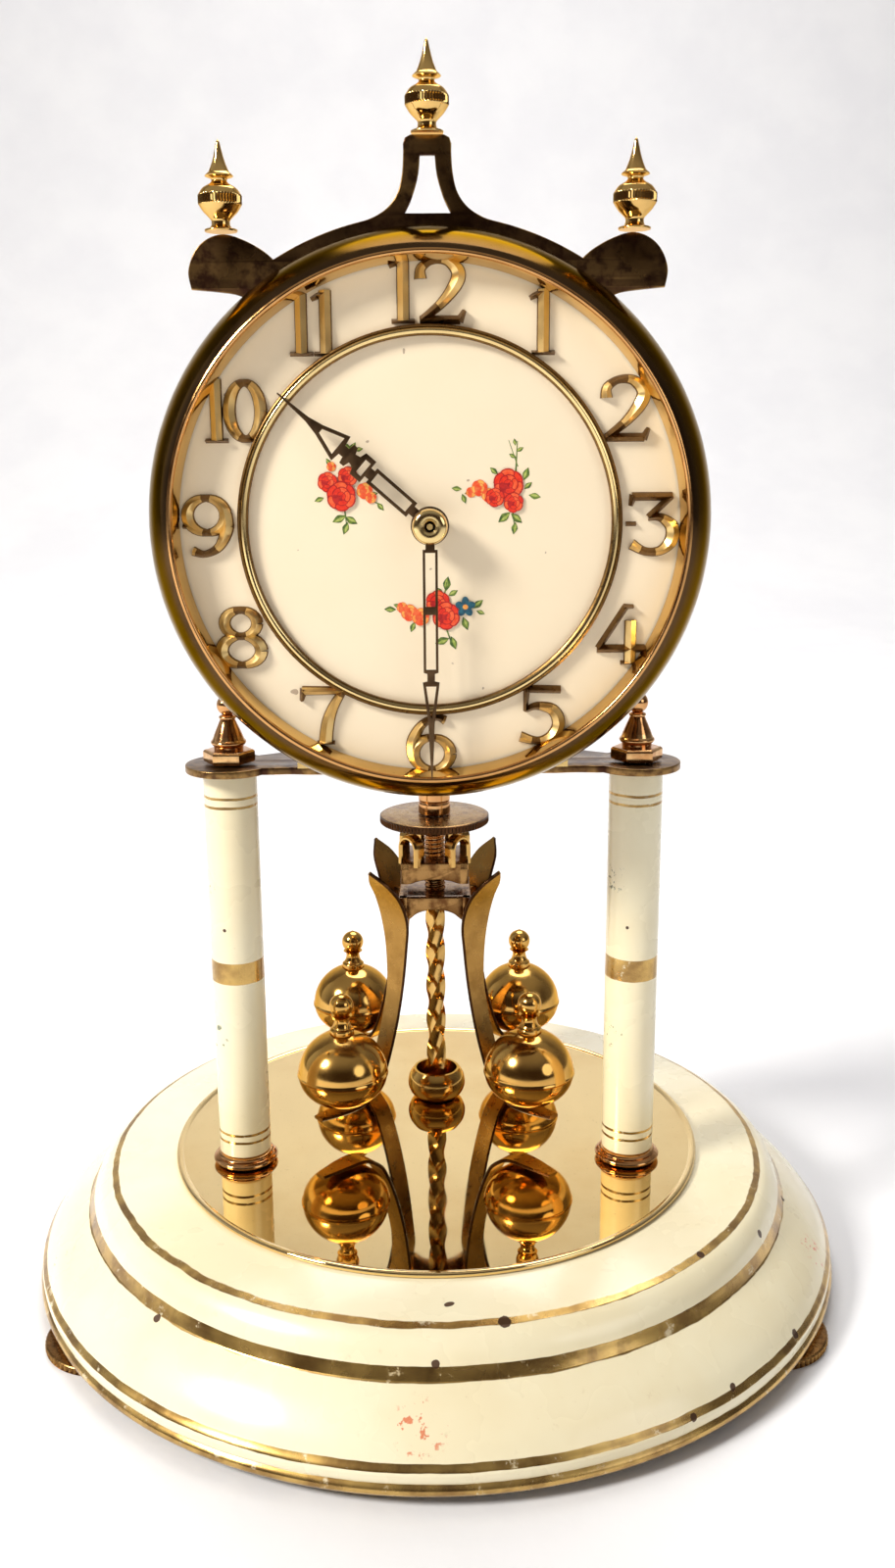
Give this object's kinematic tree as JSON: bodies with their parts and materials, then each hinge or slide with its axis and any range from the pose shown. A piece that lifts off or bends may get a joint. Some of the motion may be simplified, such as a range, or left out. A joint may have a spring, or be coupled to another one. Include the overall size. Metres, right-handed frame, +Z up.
{
  "type": "anniversary clock",
  "caption": "Torsion-pendulum mantel clock: round enamelled base, pillars, skeleton movement behind a round dial, and a four-ball pendulum on a ribbon.",
  "frame": {"origin": "centre of the round base, on the surface that it stands on", "axes": "+Z up, the dial faces -Y, +X to the right seen from the front"},
  "size_m": [0.19, 0.1922, 0.266],
  "materials": {
    "cream_enamel": "glossy cream enamel with gilt lines, chipped in places",
    "dial_cream": "satin cream dial paint with printed roses and raised brass numerals",
    "mirror_brass": "polished brass disc, mirror bright with fine scratches",
    "polished_brass": "polished lacquered brass",
    "dark_bronze": "dark bronze lacquer on brass, worn bright at the edges",
    "movement_brass": "brushed clock brass",
    "tarnished_brass": "brass gone brown with age",
    "steel": "plain machined steel"
  },
  "bodies": {
    "clock_frame": {"base_shell": "cream_enamel", "mirror_disc": "mirror_brass", "pendulum_cup": "polished_brass", "pillar_left": "cream_enamel", "pillar_collar_left": "polished_brass", "pillar_finial_left": "dark_bronze", "pillar_right": "cream_enamel", "pillar_collar_right": "polished_brass", "pillar_finial_right": "dark_bronze", "platform": "dark_bronze", "front_plate": "movement_brass", "back_plate": "movement_brass", "movement_post_lower_left": "movement_brass", "movement_post_lower_right": "movement_brass", "movement_post_upper_left": "movement_brass", "movement_post_upper_right": "movement_brass", "gallery_plate": "dark_bronze", "top_finial_left": "polished_brass", "top_finial_centre": "polished_brass", "top_finial_right": "polished_brass", "bezel": "dark_bronze", "dial_plate": "dial_cream", "chapter_ring": "polished_brass", "suspension_bracket": "movement_brass"},
    "screw_left": {"levelling_screw_left": "tarnished_brass"},
    "screw_right": {"levelling_screw_right": "tarnished_brass"},
    "screw_rear": {"levelling_screw_rear": "tarnished_brass"},
    "minute_train": {"centre_arbor": "movement_brass", "cannon_pinion": "steel", "minute_hand": "dark_bronze", "hand_nut": "polished_brass"},
    "hour_train": {"hour_wheel": "movement_brass", "hour_hand": "dark_bronze"},
    "motion_wheel": {"minute_wheel": "movement_brass"},
    "barrel_drum": {"barrel": "movement_brass", "mainspring": "steel"},
    "winding_arbor": {"barrel_arbor": "steel"},
    "click_lever": {"click": "steel"},
    "first_intermediate": {"intermediate_wheel_first": "movement_brass"},
    "second_intermediate": {"intermediate_wheel_second": "movement_brass"},
    "third_train": {"third_wheel": "movement_brass"},
    "escape_train": {"escape_wheel": "movement_brass"},
    "pallet_anchor": {"anchor": "steel"},
    "beat_saddle": {"suspension_saddle": "movement_brass", "suspension_ribbon": "steel"},
    "fork_clamp": {"fork": "movement_brass"},
    "pendulum": {"bottom_block": "movement_brass", "hub_tube": "tarnished_brass", "pendulum_spindle": "tarnished_brass"},
    "regulator": {"regulator_disc": "tarnished_brass"},
    "arm_lifter": {"upper_spider": "tarnished_brass"},
    "bob_rear_right": {"arm_rear_right": "tarnished_brass", "ball_rear_right": "polished_brass"},
    "bob_rear_left": {"arm_rear_left": "tarnished_brass", "ball_rear_left": "polished_brass"},
    "bob_front_left": {"arm_front_left": "tarnished_brass", "ball_front_left": "polished_brass"},
    "bob_front_right": {"arm_front_right": "tarnished_brass", "ball_front_right": "polished_brass"}
  },
  "joints": [
    {"name": "levelling_left_turn", "type": "hinge", "parent": "clock_frame", "child": "screw_left", "pos_m": [-0.07275, -0.042, 0], "axis": [0, 0, 1], "range_deg": [-720, 720]},
    {"name": "levelling_right_turn", "type": "hinge", "parent": "clock_frame", "child": "screw_right", "pos_m": [0.07275, -0.042, 0], "axis": [0, 0, 1], "range_deg": [-720, 720]},
    {"name": "levelling_rear_turn", "type": "hinge", "parent": "clock_frame", "child": "screw_rear", "pos_m": [0, 0.084, 0], "axis": [0, 0, 1], "range_deg": [-720, 720]},
    {"name": "minute_hand_turn", "type": "hinge", "parent": "clock_frame", "child": "minute_train", "pos_m": [0, 0, 0.1766], "axis": [0, 1, 0], "continuous": true},
    {"name": "hour_hand_turn", "type": "hinge", "parent": "clock_frame", "child": "hour_train", "pos_m": [0, 0, 0.1766], "axis": [0, 1, 0], "continuous": true},
    {"name": "minute_wheel_turn", "type": "hinge", "parent": "clock_frame", "child": "motion_wheel", "pos_m": [-0.00983, 0, 0.16972], "axis": [0, 1, 0], "continuous": true},
    {"name": "barrel_turn", "type": "hinge", "parent": "clock_frame", "child": "barrel_drum", "pos_m": [-0.006, 0, 0.1465], "axis": [0, 1, 0], "continuous": true},
    {"name": "first_intermediate_turn", "type": "hinge", "parent": "clock_frame", "child": "first_intermediate", "pos_m": [0.01038, 0, 0.1593], "axis": [0, 1, 0], "continuous": true},
    {"name": "second_intermediate_turn", "type": "hinge", "parent": "clock_frame", "child": "second_intermediate", "pos_m": [0.01363, 0, 0.17407], "axis": [0, 1, 0], "continuous": true},
    {"name": "third_wheel_turn", "type": "hinge", "parent": "clock_frame", "child": "third_train", "pos_m": [-0.00964, 0, 0.18809], "axis": [0, 1, 0], "continuous": true},
    {"name": "escape_wheel_turn", "type": "hinge", "parent": "clock_frame", "child": "escape_train", "pos_m": [0, 0, 0.19523], "axis": [0, 1, 0], "continuous": true},
    {"name": "winding_arbor_turn", "type": "hinge", "parent": "clock_frame", "child": "winding_arbor", "pos_m": [-0.006, 0, 0.1465], "axis": [0, 1, 0], "continuous": true},
    {"name": "click_lift", "type": "hinge", "parent": "clock_frame", "child": "click_lever", "pos_m": [0.0076, 0, 0.1465], "axis": [0, 1, 0], "range_deg": [0, 20]},
    {"name": "beat_setting", "type": "hinge", "parent": "clock_frame", "child": "beat_saddle", "pos_m": [0, 0.0195, 0.224], "axis": [0, 0, 1], "range_deg": [-2.5, 2.5]},
    {"name": "pendulum_swing", "type": "hinge", "parent": "beat_saddle", "child": "pendulum", "pos_m": [0, 0.0195, 0.113], "axis": [0, 0, 1], "range_deg": [-150, 150], "stiffness_Nm_per_rad": 0.000036, "deforming": ["suspension_ribbon"]},
    {"name": "fork_turn", "type": "hinge", "parent": "beat_saddle", "child": "fork_clamp", "pos_m": [0, 0.0195, 0.217], "axis": [0, 0, 1], "range_deg": [-5.1, 5.1]},
    {"name": "anchor_rock", "type": "hinge", "parent": "clock_frame", "child": "pallet_anchor", "pos_m": [0, 0, 0.20823], "axis": [0, 1, 0], "range_deg": [-5.2, 5.2]},
    {"name": "regulator_turn", "type": "hinge", "parent": "pendulum", "child": "regulator", "pos_m": [0, 0.0195, 0.1014], "axis": [0, 0, 1], "range_deg": [-360, 360]},
    {"name": "arm_lifter_slide", "type": "slide", "parent": "pendulum", "child": "arm_lifter", "axis": [0, 0, 1], "range_m": [-0.0009, 0.0009]},
    {"name": "arm_rear_right_tilt", "type": "hinge", "parent": "pendulum", "child": "bob_rear_right", "pos_m": [0.00919, 0.02869, 0.08], "axis": [0.7071, -0.7071, 0], "range_deg": [-1, 1]},
    {"name": "arm_rear_left_tilt", "type": "hinge", "parent": "pendulum", "child": "bob_rear_left", "pos_m": [-0.00919, 0.02869, 0.08], "axis": [0.7071, 0.7071, 0], "range_deg": [-1, 1]},
    {"name": "arm_front_left_tilt", "type": "hinge", "parent": "pendulum", "child": "bob_front_left", "pos_m": [-0.00919, 0.01031, 0.08], "axis": [-0.7071, 0.7071, 0], "range_deg": [-1, 1]},
    {"name": "arm_front_right_tilt", "type": "hinge", "parent": "pendulum", "child": "bob_front_right", "pos_m": [0.00919, 0.01031, 0.08], "axis": [-0.7071, -0.7071, 0], "range_deg": [-1, 1]}
  ],
  "couplings": [
    {"joint": "hour_hand_turn", "follows": "minute_hand_turn", "ratio": 0.083333},
    {"joint": "minute_wheel_turn", "follows": "minute_hand_turn", "ratio": -0.33333},
    {"joint": "third_wheel_turn", "follows": "minute_hand_turn", "ratio": -4},
    {"joint": "escape_wheel_turn", "follows": "minute_hand_turn", "ratio": 12},
    {"joint": "second_intermediate_turn", "follows": "minute_hand_turn", "ratio": -0.1},
    {"joint": "first_intermediate_turn", "follows": "minute_hand_turn", "ratio": 0.0125},
    {"joint": "barrel_turn", "follows": "minute_hand_turn", "ratio": -0.0015625},
    {"joint": "fork_turn", "follows": "pendulum_swing", "ratio": 0.033333},
    {"joint": "anchor_rock", "follows": "pendulum_swing", "ratio": 0.03463},
    {"joint": "regulator_turn", "follows": "arm_lifter_slide", "rad_per_m": 6981.3},
    {"joint": "arm_rear_right_tilt", "follows": "arm_lifter_slide", "rad_per_m": 19.392},
    {"joint": "arm_rear_left_tilt", "follows": "arm_lifter_slide", "rad_per_m": 19.392},
    {"joint": "arm_front_left_tilt", "follows": "arm_lifter_slide", "rad_per_m": 19.392},
    {"joint": "arm_front_right_tilt", "follows": "arm_lifter_slide", "rad_per_m": 19.392}
  ]
}
